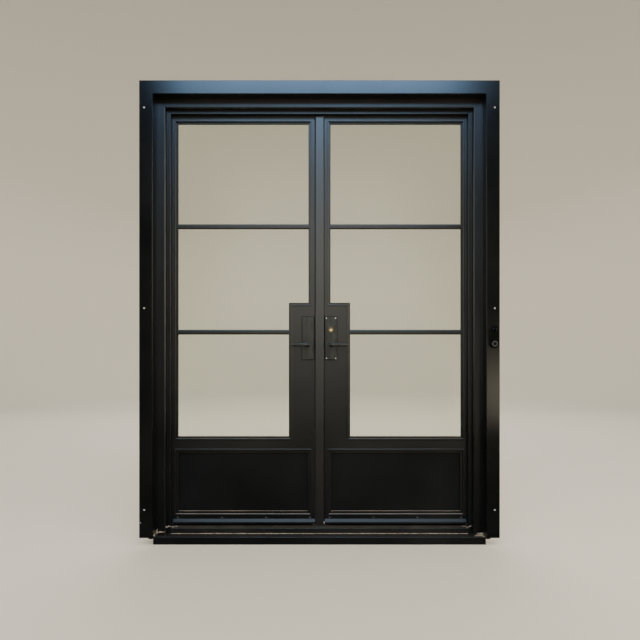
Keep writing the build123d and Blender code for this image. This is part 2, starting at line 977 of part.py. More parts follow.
def leaf_pieces(side):
    glass = glass_outline(side)
    kick = kick_outline(side)
    glazing_y = infill_y + glass_thickness
    glazing = upright(glass - inset(glass, glazing_bead_width), glazing_y, glazing_y + glazing_bead_depth)
    return {
        "outer_stile": outer_stile(side),
        "top_rail": rail(side, glass_top_z, leaf_top_z),
        "mid_rail": rail(side, mid_rail_bottom_z, mid_rail_top_z),
        "bottom_rail": drilled_rail(side),
        "meeting_stile": meeting_stile(side),
        "mouldings": group([moulding(glass, glass_foot_width), moulding(kick, kick_foot_width)]),
        "glass": upright(inset(glass, glass_edge_gap), infill_y, glazing_y),
        "glazing_bead": glazing,
        "kick_panel": upright(kick, infill_y, infill_y + kick_panel_thickness),
        "muntins": muntins(side),
        "sweep": sweep(side),
        "leaf_screws": leaf_screws(side),
        "outer_plate": furniture_plate(side, True),
        "inner_plate": furniture_plate(side, False),
        "outer_lever": lever(side, True),
        "inner_lever": lever(side, False),
        "spindle": spindle(side),
    }


# Doorbell

def bell_shell_outline(shrink):
    width, height = bell_width - 2 * shrink, bell_height - 2 * shrink
    return Pos(stop_half_width + bell_center_u, bell_center_z) * SlotOverall(height, width, rotation=90)


def doorbell():
    x = stop_half_width + bell_center_u
    back_y = casing_y()[0]
    front_y = back_y - bell_depth
    button_z = bell_center_z - bell_button_drop
    lens_z = bell_center_z + bell_lens_rise
    cavity_y = back_y - bell_back
    housing = upright(bell_shell_outline(0), front_y, back_y)
    housing = fillet(housing.faces().sort_by(Axis.Y)[0].edges(), bell_round)
    housing -= upright(bell_shell_outline(bell_shell), front_y + bell_button_height, cavity_y)
    housing -= rod_y(bell_bezel_radius, x, button_z, front_y - past, front_y + bell_bezel_depth)
    housing -= rod_y(bell_button_radius + bell_button_clearance, x, button_z, front_y - past, cavity_y)
    housing -= rod_y(bell_lens_radius, x, lens_z, front_y - past, front_y + bell_lens_height)
    lens = rod_y(bell_lens_radius, x, lens_z, front_y - bell_lens_proud, front_y + bell_lens_height)
    lens = fillet(lens.faces().sort_by(Axis.Y)[0].edges(), bell_lens_proud)
    button_y = front_y - bell_button_proud
    button = rod_y(bell_button_radius, x, button_z, button_y, button_y + bell_button_height)
    button = fillet(button.faces().sort_by(Axis.Y)[0].edges(), bell_button_proud)
    return {
        "doorbell_housing": housing,
        "doorbell_lens": lens,
        "doorbell_button": button,
    }


def build():
    nodes = {
        "frame_head": frame_head(),
        "frame_left_jamb": frame_jamb(-1),
        "frame_right_jamb": frame_jamb(1),
        "casing_screws": casing_screws(),
        "sill_base": sill_base(),
        "threshold": threshold(),
        "frame_seals": frame_seals(),
        "hinge_pins": hinge_pins(),
        "centre_bar": centre_bar(),
        "strike_plate": strike_plate(),
        "left_lock_case": left_lock_case(),
        "right_lock_case": right_lock_case(),
        "latch": latch(),
        "deadbolt": deadbolt(),
        "cylinder": cylinder(),
        "cylinder_collar": cylinder_collar(),
        "key_plug": key_plug(),
        "thumbturn": thumbturn(),
    }
    nodes.update(casing_boards())
    nodes.update(shoot_bolts())
    nodes.update(doorbell())
    for side in (-1, 1):
        for name, shape in leaf_pieces(side).items():
            nodes[f"{side_name[side]}_{name}"] = shape
    return nodes


os.makedirs("parts", exist_ok=True)
for node, shape in build().items():
    save(node, shape)
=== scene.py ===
import bpy
import bmesh
import numpy as np
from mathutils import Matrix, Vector


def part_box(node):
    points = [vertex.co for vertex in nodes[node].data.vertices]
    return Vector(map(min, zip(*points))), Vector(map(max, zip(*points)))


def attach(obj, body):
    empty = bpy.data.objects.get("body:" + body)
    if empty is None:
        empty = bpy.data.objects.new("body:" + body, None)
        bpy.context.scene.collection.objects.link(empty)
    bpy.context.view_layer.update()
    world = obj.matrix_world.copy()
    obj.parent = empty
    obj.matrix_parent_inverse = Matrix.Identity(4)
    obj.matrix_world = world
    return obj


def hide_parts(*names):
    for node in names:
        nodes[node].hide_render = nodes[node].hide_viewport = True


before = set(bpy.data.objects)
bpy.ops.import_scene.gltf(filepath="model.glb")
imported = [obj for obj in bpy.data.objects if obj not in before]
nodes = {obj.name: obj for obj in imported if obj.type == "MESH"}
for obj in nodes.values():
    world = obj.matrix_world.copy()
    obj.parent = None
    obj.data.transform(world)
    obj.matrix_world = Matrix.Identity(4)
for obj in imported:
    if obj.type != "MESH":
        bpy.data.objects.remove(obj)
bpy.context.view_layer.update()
print("frame loaded, nodes:", len(nodes))

# The two leaves, and the side of the middle in X on which each lies
sides = {"left": -1, "right": 1}
# The way that the outside of the door faces
outwards = (0, -1, 0)


# Small tools

def hexColour(code):
    # An sRGB hex colour as the linear colour that a socket takes, by the formula of the sRGB standard
    channels = np.array([int(code[i:i + 2], 16) for i in (1, 3, 5)]) / 255
    linear = np.where(channels <= 0.04045, channels / 12.92, ((channels + 0.055) / 1.055) ** 2.4)
    return (*(float(c) for c in linear), 1.0)


def perMm(size):
    # The scale of a pattern on Object coordinates, in metres, whose features are that many millimetres
    return 1000 / size


def smoothStep(low, high, value):
    # 0 below low, 1 above high and a smooth S between them
    t = np.clip((value - low) / (high - low), 0, 1)
    return t * t * (3 - 2 * t)


def addNode(tree, kind, settings=None, values=None, links=None):
    # A node with its settings, the constants on its sockets and the outputs that feed it
    node = tree.nodes.new("ShaderNode" + kind)
    for name, value in (settings or {}).items():
        setattr(node, name, value)
    for socket, value in (values or {}).items():
        node.inputs[socket].default_value = value
    for socket, source in (links or {}).items():
        tree.links.new(source, node.inputs[socket])
    return node


def startMaterial(name, **values):
    # A material with its surface shader set from the given sockets, and Object coordinates to draw on
    material = bpy.data.materials.new(name)
    material.use_nodes = True
    tree = material.node_tree
    shader = tree.nodes["Principled BSDF"]
    for socket, value in values.items():
        shader.inputs[socket.replace("_", " ")].default_value = value
    place = addNode(tree, "TexCoord").outputs["Object"]
    return material, tree, shader, place


def dress(names, material):
    # Gives a material to CAD nodes
    for name in names:
        nodes[name].data.materials.clear()
        nodes[name].data.materials.append(material)


def boxMiddle(node):
    # The middle of a CAD node's box
    low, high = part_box(node)
    return (np.array(low) + np.array(high)) / 2


# Points nearer than this, in metres, are one point
mergeDistance = 1e-6


def gridMesh(name, grids, material, smooth=True):
    # One mesh over one or more grids of points (along, across, xyz), each closed across.
    # Rows that meet or shrink to a point are merged, and the normals are then turned outwards.
    points = []
    faces = []
    start = 0
    for grid in grids:
        rows, columns = grid.shape[:2]
        index = np.arange(rows * columns).reshape(rows, columns) + start
        right = np.roll(index, -1, axis=1)
        quads = np.stack([index[:-1], right[:-1], right[1:], index[1:]], axis=-1)
        points.append(grid.reshape(-1, 3))
        faces.append(quads.reshape(-1, 4))
        start += rows * columns
    mesh = bpy.data.meshes.new(name)
    mesh.from_pydata(np.concatenate(points).tolist(), [], np.concatenate(faces).tolist())
    work = bmesh.new()
    work.from_mesh(mesh)
    bmesh.ops.remove_doubles(work, verts=work.verts, dist=mergeDistance)
    bmesh.ops.recalc_face_normals(work, faces=work.faces)
    work.to_mesh(mesh)
    work.free()
    if smooth:
        mesh.shade_smooth()
    mesh.materials.append(material)
    piece = bpy.data.objects.new(name, mesh)
    bpy.context.scene.collection.objects.link(piece)
    return piece


def addPiece(name, grids, material, body, replaced=(), smooth=True):
    # A new piece that rides on a body and may stand for CAD nodes
    piece = gridMesh(name, grids, material, smooth)
    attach(piece, body)
    if replaced:
        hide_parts(*replaced)
    return piece


# A direction that none of the turned pieces has as its axis, from which their first spoke is worked out
offAxis = (0.37, 0.21, 0.9)


def turned(profile, centre, axis, columns=48):
    # A turned shape: each (radius, height) of the profile becomes a ring round the axis through the centre
    axis = np.array(axis, float)
    side = np.cross(axis, offAxis)
    side /= np.linalg.norm(side)
    other = np.cross(axis, side)
    radius, height = np.array(profile, float).T
    angle = np.linspace(0, 2 * np.pi, columns, endpoint=False)
    spoke = np.outer(np.cos(angle), side) + np.outer(np.sin(angle), other)
    return np.array(centre) + radius[:, None, None] * spoke + height[:, None, None] * axis


# Camera

cameraLook = {
    "place": (0.003, -3.75, 1.198),
    "lensMm": 35.82,
    "sensorMm": 36.0,
    "shiftUp": 0.0243,
}


def placeCamera():
    # Level, and looking straight along Y
    data = bpy.data.cameras.new("camera")
    data.lens = cameraLook["lensMm"]
    data.sensor_width = cameraLook["sensorMm"]
    data.shift_y = cameraLook["shiftUp"]
    camera = bpy.data.objects.new("camera", data)
    camera.location = cameraLook["place"]
    camera.rotation_euler = (np.pi / 2, 0, 0)
    bpy.context.scene.collection.objects.link(camera)
    bpy.context.scene.camera = camera


# Floor, backdrop and light

stageLook = {
    "paper": "#d6d1c4",
    "roughness": 0.9,
    "glow": 0.22,
    "radius": 9.0,       # of the flat floor
    "coveRadius": 2.0,
    "coveSteps": 13,
    "wallTop": 13.0,
    "columns": 96,
    "drop": 0.0005,      # how far the floor lies under the sill
    "world": "#c9d4de",
    "worldStrength": 0.08,
}


def buildStage():
    # A round studio cove: a flat floor, a quarter circle and a wall, one profile turned round Z.
    # It glows a little by itself and stays out of the mirror of the paint, which shows the cards below.
    look = stageLook
    bend = np.linspace(0, np.pi / 2, look["coveSteps"])
    flat = look["radius"]
    cove = look["coveRadius"]
    radius = np.concatenate([[0, flat / 2], flat + cove * np.sin(bend), [flat + cove]])
    height = np.concatenate([[0, 0], cove * (1 - np.cos(bend)), [look["wallTop"]]])
    colour = hexColour(look["paper"])
    paper = startMaterial(
        "studioPaper", Base_Color=colour, Roughness=look["roughness"],
        Emission_Color=colour, Emission_Strength=look["glow"],
    )[0]
    profile = np.stack([radius, height - look["drop"]], axis=1)
    stage = gridMesh("studioCove", [turned(profile, (0, 0, 0), (0, 0, 1), look["columns"])], paper)
    stage.visible_glossy = False
    world = bpy.data.worlds.new("studio")
    world.use_nodes = True
    background = world.node_tree.nodes["Background"]
    background.inputs["Color"].default_value = hexColour(look["world"])
    background.inputs["Strength"].default_value = look["worldStrength"]
    bpy.context.scene.world = world


# Soft boxes that light the paper and the dust: place, the point each looks at, size (width, height),
# colour, and power in watts
softBoxes = {
    "frontBox": {"place": (0, -5.0, 5.5), "aim": (0, 0, 0.8), "size": (6, 4),
                 "colour": "#fff8ee", "power": 420},
    "rightBox": {"place": (5.0, -4.0, 4.0), "aim": (0, 0, 1.0), "size": (3, 3),
                 "colour": "#ffefd8", "power": 150},
    "backBox": {"place": (0, 6.0, 6.5), "aim": (0, 2, 0), "size": (7, 4),
                "colour": "#fff8ee", "power": 420},
}

# Glowing cards that only show as reflections. Each lies between two corners and is flat along one axis.
# It fades over "fade" metres, along X, Y and Z, towards its edges.
glowCards = {
    "skyCard": {"low": (-2.6, -6.0, 4.45), "high": (2.6, -6.0, 7.8), "colour": "#98c0ea", "glow": 15.0,
                "fade": (0.9, 0, 0.5)},
    "overheadCard": {"low": (-3.6, -4.6, 6.5), "high": (3.6, 0.4, 6.5), "colour": "#b4c8da", "glow": 4.6,
                     "fade": (1.6, 1.2, 0)},
    "eyeCard": {"low": (-2.35, -6.0, 0.3), "high": (2.35, -6.0, 4.6), "colour": "#e6e0cc", "glow": 3.1,
                "fade": (1.6, 0, 1.7)},
    "lowRightCard": {"low": (1.9, -6.0, -1.1), "high": (3.9, -6.0, 1.25), "colour": "#e8dcc0", "glow": 3.0,
                     "fade": (0.5, 0, 0.8)},
    "farLeftCard": {"low": (-9.8, -6.0, 0.3), "high": (-4.4, -6.0, 5.0), "colour": "#dcdcd0", "glow": 1.8,
                    "fade": (1.6, 0, 1.4)},
    "farRightCard": {"low": (4.4, -6.2, 0.3), "high": (9.8, -6.2, 5.0), "colour": "#dcdcd0", "glow": 1.8,
                     "fade": (1.6, 0, 1.4)},
    "groundCard": {"low": (-2.6, -14.0, -0.01), "high": (2.6, -1.0, -0.01), "colour": "#cfcbb8", "glow": 0.7,
                   "fade": (1.4, 4.5, 0)},
    "leftCard": {"low": (-5.0, -6.5, 0.2), "high": (-5.0, 1.5, 5.0), "colour": "#dedccb", "glow": 5.0,
                 "fade": (0, 2.0, 1.4)},
    "rightCard": {"low": (5.0, -7.5, 0.2), "high": (5.0, 1.5, 5.0), "colour": "#e6dfc8", "glow": 8.0,
                  "fade": (0, 2.0, 1.4)},
    "backCard": {"low": (-7.5, 6.5, 0.3), "high": (7.5, 6.5, 6.5), "colour": "#dcdcd2", "glow": 3.4,
                 "fade": (2.6, 0, 1.8)},
}


def glowMaterial(name, card):
    # Light that falls away smoothly towards the card's edges
    material = bpy.data.materials.new(name)
    material.use_nodes = True
    tree = material.node_tree
    tree.nodes.clear()
    place = addNode(tree, "TexCoord").outputs["Object"]
    axes = addNode(tree, "SeparateXYZ", links={0: place}).outputs
    fades = []
    for axis, (low, high, fade) in enumerate(zip(card["low"], card["high"], card["fade"])):
        if not fade:
            continue
        for edge, inner in ((low, low + fade), (high, high - fade)):
            ramp = addNode(tree, "MapRange", {"interpolation_type": "SMOOTHSTEP"}, {
                "From Min": edge, "From Max": inner,
            }, {"Value": axes[axis]})
            fades.append(ramp.outputs[0])
    share = fades[0]
    for fade in fades[1:]:
        share = addNode(tree, "Math", {"operation": "MULTIPLY"}, links={0: share, 1: fade}).outputs[0]
    power = addNode(tree, "Math", {"operation": "MULTIPLY"}, {1: card["glow"]}, {0: share}).outputs[0]
    light = addNode(tree, "Emission", values={"Color": hexColour(card["colour"])}, links={"Strength": power})
    addNode(tree, "OutputMaterial", links={"Surface": light.outputs[0]})
    return material


def hangSoftBoxes():
    # They only light surfaces: no box is mirrored in the paint or shows through the glass
    for name, box in softBoxes.items():
        light = bpy.data.lights.new(name, "AREA")
        light.shape = "RECTANGLE"
        light.size, light.size_y = box["size"]
        light.energy = box["power"]
        light.color = hexColour(box["colour"])[:3]
        lamp = bpy.data.objects.new(name, light)
        lamp.location = box["place"]
        aim = Vector(box["aim"]) - Vector(box["place"])
        lamp.rotation_euler = aim.to_track_quat("-Z", "Y").to_euler()
        lamp.visible_glossy = False
        lamp.visible_transmission = False
        bpy.context.scene.collection.objects.link(lamp)


def standGlowCards():
    # One face for each card. Its corners go round along the two axes in which it isn't flat.
    for name, card in glowCards.items():
        low, high = np.array(card["low"]), np.array(card["high"])
        first = np.flatnonzero(high != low)[0]
        corners = np.array([low, low, high, high])
        corners[1, first] = high[first]
        corners[3, first] = low[first]
        mesh = bpy.data.meshes.new(name)
        mesh.from_pydata(corners.tolist(), [], [(0, 1, 2, 3)])
        mesh.materials.append(glowMaterial(name, card))
        piece = bpy.data.objects.new(name, mesh)
        piece.visible_camera = False
        piece.visible_diffuse = False
        piece.visible_transmission = False
        piece.visible_shadow = False
        bpy.context.scene.collection.objects.link(piece)


# Paint

def sprayedPaint(name, look):
    # Sprayed and baked coat on steel: dark and satin, with orange peel, cloudy gloss and pale dust
    # where a surface looks nearly straight up, which also paints the highlight of skylight on those ledges.
    # The dust and painted highlight thicken from the height dustTop down to dustFoot.
    material, tree, shader, place = startMaterial(name, IOR=look["ior"], Specular_IOR_Level=look["specular"])
    # No dust and painted skylight where the normal's Z is under 0.9, and the whole of it from 0.98
    normal = addNode(tree, "NewGeometry").outputs["Normal"]
    up = addNode(tree, "SeparateXYZ", links={0: normal}).outputs["Z"]
    level = addNode(tree, "MapRange", values={"From Min": 0.9, "From Max": 0.98}, links={"Value": up})
    height = addNode(tree, "SeparateXYZ", links={0: place}).outputs["Z"]
    low = addNode(tree, "MapRange", values={
        "From Min": look["dustTop"], "From Max": look["dustFoot"],
        "To Min": look["dustAndSkylight"][0], "To Max": look["dustAndSkylight"][1],
    }, links={"Value": height})
    drift = addNode(tree, "TexNoise", values={"Scale": perMm(look["driftMm"]), "Detail": 4.0}, links={
        "Vector": place,
    })
    uneven = addNode(tree, "MapRange", values={"From Min": 0.25, "From Max": 0.65, "To Min": 0.55}, links={
        "Value": drift.outputs["Fac"],
    })
    settledAndLit = addNode(tree, "Math", {"operation": "MULTIPLY"}, links={
        0: level.outputs[0], 1: low.outputs[0],
    })
    dustAndSkylight = addNode(tree, "Math", {"operation": "MULTIPLY"}, links={
        0: settledAndLit.outputs[0], 1: uneven.outputs[0],
    }).outputs[0]
    cloud = addNode(tree, "TexNoise", values={"Scale": perMm(look["cloudMm"]), "Detail": 3.0}, links={
        "Vector": place,
    })
    coat = addNode(tree, "ValToRGB", links={"Fac": cloud.outputs["Fac"]})
    coat.color_ramp.elements[0].color = hexColour(look["colour"])
    coat.color_ramp.elements[0].position = 0.35
    coat.color_ramp.elements[1].color = hexColour(look["paleColour"])
    coat.color_ramp.elements[1].position = 0.75
    gloss = addNode(tree, "MapRange", values={
        "From Min": 0.3, "From Max": 0.7, "To Min": look["roughness"][0], "To Max": look["roughness"][1],
    }, links={"Value": cloud.outputs["Fac"]})
    # The mix node takes its share at input 0, two numbers at 2 and 3, and two colours at 6 and 7, and it
    # gives a number at output 0 and a colour at output 2
    # Pale dust mixed in where surfaces face up, which also stands for a painted highlight of skylight on the
    # ledges
    dustyAndLit = addNode(tree, "Mix", {"data_type": "RGBA"}, {7: hexColour(look["dustAndSkylightColour"])}, {
        0: dustAndSkylight, 6: coat.outputs["Color"],
    })
    dull = addNode(tree, "Mix", {"data_type": "FLOAT"}, {3: look["dustRoughness"]}, {
        0: dustAndSkylight, 2: gloss.outputs[0],
    })
    peel = addNode(tree, "TexNoise", values={"Scale": perMm(look["peelMm"]), "Detail": 2.0}, links={
        "Vector": place,
    })
    bump = addNode(tree, "Bump", values={"Strength": look["peelStrength"], "Distance": 0.0003}, links={
        "Height": peel.outputs["Fac"],
    })
    tree.links.new(dustyAndLit.outputs[2], shader.inputs["Base Color"])
    tree.links.new(dull.outputs[0], shader.inputs["Roughness"])
    tree.links.new(bump.outputs["Normal"], shader.inputs["Normal"])
    return material


# What every painted piece has unless its own look says otherwise. Orange peel is 2 to 4 mm across on the
# real coat and is drawn at 7 mm so that it shows. The two shares of pale dust, which also paints the
# skylight highlight on ledges that face up, are for the top and the foot.
paintLook = {
    "colour": "#090a0b", "paleColour": "#111213", "roughness": (0.26, 0.36), "ior": 1.5, "specular": 0.5,
    "cloudMm": 420, "peelMm": 7, "peelStrength": 0.2,
    "dustAndSkylightColour": "#a49c92", "dustRoughness": 0.9, "driftMm": 90,
    "dustAndSkylight": (0.08, 0.1), "dustTop": 0.75, "dustFoot": 0.2,
}
leafParts = [
    "outer_stile", "top_rail", "mid_rail", "bottom_rail", "meeting_stile", "mouldings", "muntins",
    "glazing_bead",
]
paintedNodes = {
    "powderCoatedFrameSteel": {
        "nodes": ["frame_head", "frame_left_jamb", "frame_right_jamb", "sill_base"],
        "look": {"specular": 0.44, "dustAndSkylight": (0.02, 0.04)},
    },
    "glossPaintedCasing": {
        "nodes": ["casing_head", "casing_left_leg", "casing_right_leg"],
        "look": {"roughness": (0.12, 0.18), "dustAndSkylight": (0.02, 0.04)},
    },
    "wornPaintedThreshold": {
        "nodes": ["threshold"],
        "look": {"colour": "#0e0e0e", "paleColour": "#1a1918", "roughness": (0.36, 0.46), "cloudMm": 180,
                 "specular": 0.4, "dustTop": 0.4},
    },
    "satinPaintedBar": {
        "nodes": ["centre_bar"],
        "look": {"colour": "#121211", "paleColour": "#1a1a18", "specular": 0.75, "roughness": (0.3, 0.38)},
    },
    "powderCoatedPanelSheet": {
        "nodes": ["left_kick_panel", "right_kick_panel"],
        "look": {"specular": 0.2, "roughness": (0.4, 0.5)},
    },
    "powderCoatedSweepSheet": {
        "nodes": ["left_sweep", "right_sweep"],
        "look": {"specular": 0.42, "roughness": (0.28, 0.36), "dustAndSkylight": (0.0, 0.0)},
    },
    # The leaf takes the most pale dust, which partly paints the skylight highlight along its ledges
    "powderCoatedLeafSteel": {
        "nodes": [f"{side}_{part}" for side in sides for part in leafParts],
        "look": {"colour": "#0c0c0c", "paleColour": "#151515", "specular": 0.6, "dustAndSkylight": (0.3, 0.75)},
    },
}


def dressPaint():
    for name, painted in paintedNodes.items():
        dress(painted["nodes"], sprayedPaint(name, paintLook | painted["look"]))


# Metals

bronzeLook = {"dark": "#252625", "pale": "#383a38", "roughness": (0.26, 0.42), "rubMm": 18, "grainMm": 3}


def bronzeFinish():
    # Oil-rubbed bronze: nearly black, a little paler in streaks, with soft gloss. The scale of 0.2 along Z
    # draws the pattern out to five times its width.
    look = bronzeLook
    material, tree, shader, place = startMaterial("oilRubbedBronze", Metallic=0.4)
    stretch = addNode(tree, "Mapping", values={"Scale": (1.0, 1.0, 0.2)}, links={"Vector": place})
    rub = addNode(tree, "TexNoise", values={"Scale": perMm(look["rubMm"]), "Detail": 5.0}, links={
        "Vector": stretch.outputs[0],
    })
    tone = addNode(tree, "ValToRGB", links={"Fac": rub.outputs["Fac"]})
    tone.color_ramp.elements[0].color = hexColour(look["dark"])
    tone.color_ramp.elements[0].position = 0.4
    tone.color_ramp.elements[1].color = hexColour(look["pale"])
    tone.color_ramp.elements[1].position = 0.75
    gloss = addNode(tree, "MapRange", values={
        "To Min": look["roughness"][0], "To Max": look["roughness"][1],
    }, links={"Value": rub.outputs["Fac"]})
    grain = addNode(tree, "TexNoise", values={"Scale": perMm(look["grainMm"])}, links={
        "Vector": stretch.outputs[0],
    })
    bump = addNode(tree, "Bump", values={"Strength": 0.2, "Distance": 0.0002}, links={
        "Height": grain.outputs["Fac"],
    })
    tree.links.new(tone.outputs["Color"], shader.inputs["Base Color"])
    tree.links.new(gloss.outputs[0], shader.inputs["Roughness"])
    tree.links.new(bump.outputs["Normal"], shader.inputs["Normal"])
    return material


def metalFinish(name, look):
    # Bare or plated metal: two close tones in fine grain, with gloss that follows them
    material, tree, shader, place = startMaterial(name, Metallic=look["metallic"])
    grain = addNode(tree, "TexNoise", values={"Scale": perMm(look["grainMm"]), "Detail": 6.0}, links={
        "Vector": place,
    })
    tone = addNode(tree, "ValToRGB", links={"Fac": grain.outputs["Fac"]})
    tone.color_ramp.elements[0].color = hexColour(look["dark"])
    tone.color_ramp.elements[0].position = 0.35
    tone.color_ramp.elements[1].color = hexColour(look["pale"])
    tone.color_ramp.elements[1].position = 0.65
    gloss = addNode(tree, "MapRange", values={
        "To Min": look["roughness"][0], "To Max": look["roughness"][1],
    }, links={"Value": grain.outputs["Fac"]})
    bump = addNode(tree, "Bump", values={"Strength": 0.15, "Distance": 0.0001}, links={
        "Height": grain.outputs["Fac"],
    })
    tree.links.new(tone.outputs["Color"], shader.inputs["Base Color"])
    tree.links.new(gloss.outputs[0], shader.inputs["Roughness"])
    tree.links.new(bump.outputs["Normal"], shader.inputs["Normal"])
    return material


# The screws' white rust scatters light, so they are only half metallic
metalLooks = {
    "weatheredZincScrew": {
        "pale": "#d4d6d0", "dark": "#9b9b95", "roughness": (0.37, 0.55), "grainMm": 1.2, "metallic": 0.5,
    },
    "dulledZincScrew": {
        "pale": "#6f6f6a", "dark": "#454542", "roughness": (0.42, 0.6), "grainMm": 1.2, "metallic": 0.5,
    },
    "zincPlatedLockSteel": {
        "pale": "#b4b6b4", "dark": "#8c8f8f", "roughness": (0.27, 0.45), "grainMm": 2.5, "metallic": 1.0,
    },
    "agedCastBrass": {
        "pale": "#8d7a48", "dark": "#5e5030", "roughness": (0.3, 0.48), "grainMm": 1.6, "metallic": 0.75,
    },
    "turnedBrass": {
        "pale": "#fbeeb8", "dark": "#dcc47c", "roughness": (0.16, 0.34), "grainMm": 1.6, "metallic": 0.75,
    },
}
metalNodes = {
    "zincPlatedLockSteel": ["hinge_pins", "strike_plate", "left_lock_case", "right_lock_case", "latch",
                            "deadbolt", "top_shoot_bolt", "bottom_shoot_bolt", "left_spindle",
                            "right_spindle"],
    "agedCastBrass": ["cylinder"],
    "turnedBrass": ["key_plug"],
}
bronzeNodes = ["left_outer_plate", "left_inner_plate", "right_outer_plate", "right_inner_plate",
               "cylinder_collar", "thumbturn"]

bronze = bronzeFinish()
metals = {name: metalFinish(name, look) for name, look in metalLooks.items()}
dressPaint()
dress(bronzeNodes, bronze)
for name, names in metalNodes.items():
    dress(names, metals[name])
print("paint and metals done")


# Levers

leverLook = {
    "reach": 0.042,        # from the plate to the middle of the grip
    "elbow": 0.014,        # radius of the bend
    "length": 0.102,       # from the spindle to the tip
    "bow": 0.003,          # how far the tip comes back towards the leaf
    "neck": 0.0088,        # half size of the round neck
    "knuckle": 0.0022,     # extra girth of the ball at the bend
    "knuckleWidth": 0.55,  # how far the ball spreads, as a share of the bend
    "thick": (0.006, 0.0048),   # half sizes of the grip, at its root and at its tip
    "tall": (0.0086, 0.0068),
    "flatStart": 0.6,      # where along the bend the round neck starts to turn flat
    "flatRun": 0.03,       # how far beyond the bend it has turned flat
    "squareness": 1.4,     # how much the flat bar's section leans from an ellipse to a rectangle
    "dome": 0.007,         # length of the rounded tip
    "domeSteps": 9,
    "stations": 60,
    "columns": 40,
    "gap": 0.0003,         # between the plate and what turns on it
    # The round collar at the plate, as radius and height
    "rose": [(0, 0), (0.013, 0), (0.013, 0.0022), (0.01222, 0.0034), (0.0104, 0.004), (0, 0.004)],
}


def leverGrid(side, faceY, out, axisX, axisZ):
    # A superellipse carried along a path: straight out from the plate, a quarter circle, then a long grip
    # that bows back. Half sizes run smoothly from the round neck, through a ball at the bend, to a flat
    # bar that thins to its tip, and the last few millimetres close in a quarter ellipse.
    look = leverLook
    bend = look["elbow"]
    straight = look["reach"] - bend
    arc = bend * np.pi / 2
    grip = look["length"] - bend
    total = straight + arc + grip
    dome = look["dome"]
    ending = total - dome + dome * np.sin(np.linspace(0, np.pi / 2, look["domeSteps"]))
    station = np.concatenate([np.linspace(0, total - dome, look["stations"])[:-1], ending])
    turn = np.clip((station - straight) / bend, 0, np.pi / 2)
    run = np.clip(station - straight - arc, 0, None)
    share = run / grip
    pathX = bend * (1 - np.cos(turn)) + run
    pathOut = np.minimum(station, straight) + bend * np.sin(turn) - look["bow"] * share ** 2
    tangent = np.stack([np.gradient(pathX), np.gradient(pathOut)], axis=1)
    tangent /= np.linalg.norm(tangent, axis=1, keepdims=True)
    flat = smoothStep(straight + arc * look["flatStart"], straight + arc + look["flatRun"], station)
    fromBend = (station - straight - arc / 2) / (arc * look["knuckleWidth"])
    ball = look["knuckle"] * np.exp(-fromBend ** 2)
    close = np.sqrt(np.clip(1 - np.clip((station - total) / dome + 1, 0, 1) ** 2, 0, 1))
    thick = look["neck"] * (1 - flat) + np.interp(share, (0, 1), look["thick"]) * flat + ball
    tall = look["neck"] * (1 - flat) + np.interp(share, (0, 1), look["tall"]) * flat + ball
    angle = np.linspace(0, 2 * np.pi, look["columns"], endpoint=False)
    cosine, sine = np.cos(angle), np.sin(angle)
    power = (2 / (2 + look["squareness"] * flat))[:, None]
    across = np.sign(cosine) * np.abs(cosine) ** power * (thick * close)[:, None]
    upward = np.sign(sine) * np.abs(sine) ** power * (tall * close)[:, None]
    alongX = pathX[:, None] - tangent[:, 1:] * across
    alongOut = pathOut[:, None] + tangent[:, :1] * across
    outY = faceY + out * (alongOut + look["gap"])
    grid = np.stack([axisX + side * alongX, outY, axisZ + upward], axis=-1)
    root = np.broadcast_to(grid[:1].mean(axis=1, keepdims=True), grid[:1].shape)
    return np.concatenate([root, grid])


def makeLevers():
    look = leverLook
    for name, side in sides.items():
        body = f"{name}_lever_set"
        axisX, _, axisZ = boxMiddle(f"{name}_spindle")
        for place, out in (("outer", -1), ("inner", 1)):
            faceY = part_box(f"{name}_{place}_plate")[0 if out < 0 else 1][1]
            lever = leverGrid(side, faceY, out, axisX, axisZ)
            foot = (axisX, faceY + out * look["gap"], axisZ)
            collar = turned(look["rose"], foot, (0, out, 0))
            node = f"{name}_{place}_lever"
            addPiece(f"{node}_forged", [lever, collar], bronze, body, [node])


makeLevers()
print("levers done")


# Screws

# Radius and height of the head, radius and length of the shank, metal, and the seed that turns the slots
screwKinds = {
    "casing": {"head": 0.005, "high": 0.0022, "shank": 0.0024, "long": 0.015,
               "metal": "weatheredZincScrew", "seed": 3},
    "sweep": {"head": 0.0045, "high": 0.002, "shank": 0.0021, "long": 0.0115,
              "metal": "dulledZincScrew", "seed": 5},
    "plate": {"head": 0.004, "high": 0.002, "shank": 0.0019, "long": 0.0115,
              "metal": "weatheredZincScrew", "seed": 8},
    "forend": {"head": 0.004, "high": 0.0004, "shank": 0.0015, "long": 0.004,
               "metal": "weatheredZincScrew", "seed": 11},
}
# The shape that every kind has, in shares of its own head and shank
screwLook = {
    "domeReach": 0.92,     # the share of the head's radius that is domed
    "domeFall": 0.4,       # how far the dome falls towards its edge
    "rim": 0.4,            # height of the head's edge
    "pointStart": 0.8,     # where along the shank the point starts
    "slotWidth": 0.13,     # half the width of a slot, in radii of the head
    "slotReach": 0.62,     # half its length
    "slotSoft": 0.12,      # how wide its sloping walls are
    "slotDepth": 0.7,      # in heights of the head
    "rings": 16,
    "columns": 48,
}
screwPlaces = {
    "casingMiddle": 1.353,    # height of the middle screw in each leg
    "sweepCount": 4,
    "sweepEnd": 0.028,        # from each end of a sweep to its nearest screw
    "sweepFaceY": -0.003,     # front face of the sweeps' sheet, where the heads sit
    "plateEdge": 0.008,       # from the edges of the plate
    "forendEnd": 0.012,       # from each end of a forend
}


